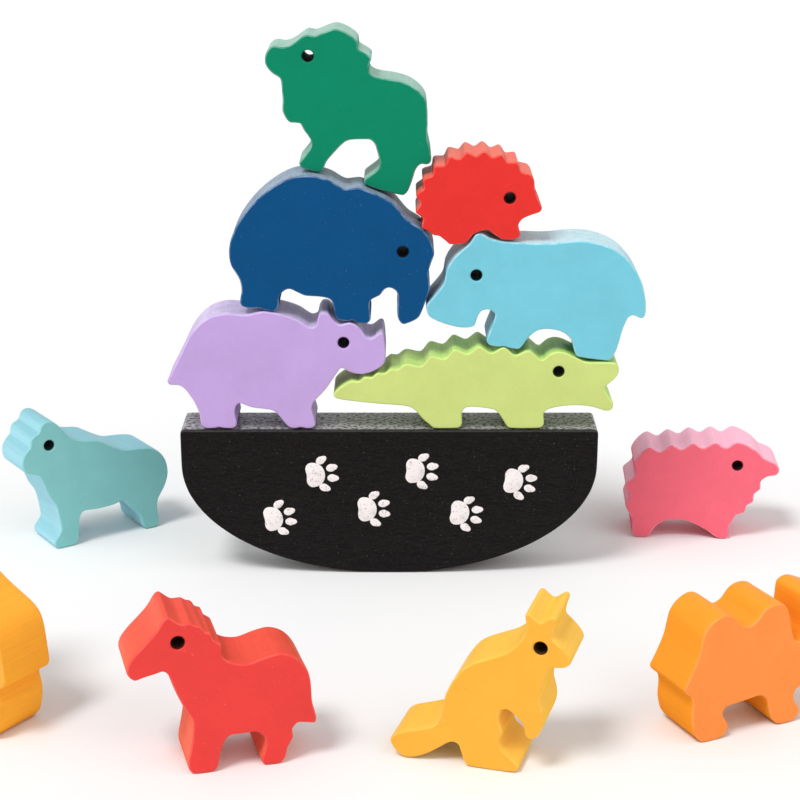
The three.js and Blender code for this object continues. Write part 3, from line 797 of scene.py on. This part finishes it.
# Rocker, held straight along its deck and down its cheeks
rocker_low, rocker_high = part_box("rocker")
rocker_supports = [
    (Vector((rocker_low.x + HOLD_FROM_END, 0, 0)), Vector((1, 0, 0))),
    (Vector((rocker_high.x - HOLD_FROM_END, 0, 0)), Vector((1, 0, 0))),
    (Vector((0, 0, rocker_high.z - HOLD_FROM_END)), Vector((0, 0, 1))),
]
# the rocker's stain carries a painted sheen where it looks up, full on the edges and slight on the face and
# rim
stain_face = black_stained_painted_sheen(
    "black_stained_basswood_face",
    painted_sheen=0.14,
    pore_size=FACE_PORE_SIZE,
    pore_depth=0.01 * MM,
    shine=0.07,
    black_to=NOWHERE,
)
stain_rim = black_stained_painted_sheen(
    "black_stained_basswood_rim",
    painted_sheen=0.1,
    pore_size=EDGE_PORE_SIZE,
    pore_depth=0.05 * MM,
    shine=0.1,
    black_to=NOWHERE,
)
stain_edge = black_stained_painted_sheen(
    "black_stained_basswood_edge_painted_sheen",
    painted_sheen=1.0,
    pore_size=EDGE_PORE_SIZE,
    pore_depth=0.08 * MM,
    shine=0.5,
    black_to=rocker_low.y + ARRIS_BLACK,
)
sawn_board("rocker", [stain_face, stain_rim, stain_edge, stain_edge], rocker_supports)
paw_trail()

# Floor
bpy.ops.object.select_all(action="DESELECT")
bpy.ops.mesh.primitive_plane_add(size=FLOOR_SIZE, location=(0, 0, 0))
floor = bpy.context.active_object
floor.name = "studio_floor"
floor_finish, floor_tree = new_finish("matt_white_paper")
paper = add(floor_tree, "BsdfDiffuse", {"Color": linear(FLOOR_WHITE)})
add(floor_tree, "OutputMaterial", {"Surface": paper.outputs[0]})
floor.data.materials.append(floor_finish)

# Soft light from the upper left, a low one beside it, a weak fill from the right and a white room
for name, strength, softness, tilt in (
    ("soft_key", KEY_STRENGTH, KEY_SOFTNESS, KEY_TILT),
    ("low_side", SIDE_STRENGTH, SIDE_SOFTNESS, SIDE_TILT),
    ("weak_fill", FILL_STRENGTH, FILL_SOFTNESS, FILL_TILT),
):
    light = bpy.data.lights.new(name, "SUN")
    light.energy = strength
    light.angle = softness
    lamp = bpy.data.objects.new(name, light)
    lamp.rotation_euler = tilt
    bpy.context.scene.collection.objects.link(lamp)

room = bpy.data.worlds.new("white_room")
room.use_nodes = True
room.node_tree.nodes.clear()
path = add(room.node_tree, "LightPath", {})
seen = add(
    room.node_tree,
    "Math",
    {0: path.outputs["Is Camera Ray"], 1: path.outputs["Is Glossy Ray"]},
    operation="MAXIMUM",
)
seen = add(
    room.node_tree,
    "Math",
    {0: seen.outputs[0], 1: path.outputs["Is Transmission Ray"]},
    operation="MAXIMUM",
)
dim = add(room.node_tree, "Background", {"Color": (1, 1, 1, 1), "Strength": ROOM_LIGHT})
white = add(room.node_tree, "Background", {"Color": (1, 1, 1, 1), "Strength": 1.0})
shown = add(room.node_tree, "MixShader", {0: seen.outputs[0], 1: dim.outputs[0], 2: white.outputs[0]})
add(room.node_tree, "OutputWorld", {"Surface": shown.outputs[0]})
bpy.context.scene.world = room

# Camera
lens = bpy.data.cameras.new("photo_camera")
lens.lens = LENS
camera = bpy.data.objects.new("photo_camera", lens)
camera.location = CAMERA_PLACE
camera.rotation_euler = (CAMERA_TILT, 0.0, 0.0)
bpy.context.scene.collection.objects.link(camera)
bpy.context.scene.camera = camera
bpy.context.scene.view_settings.view_transform = "Standard"
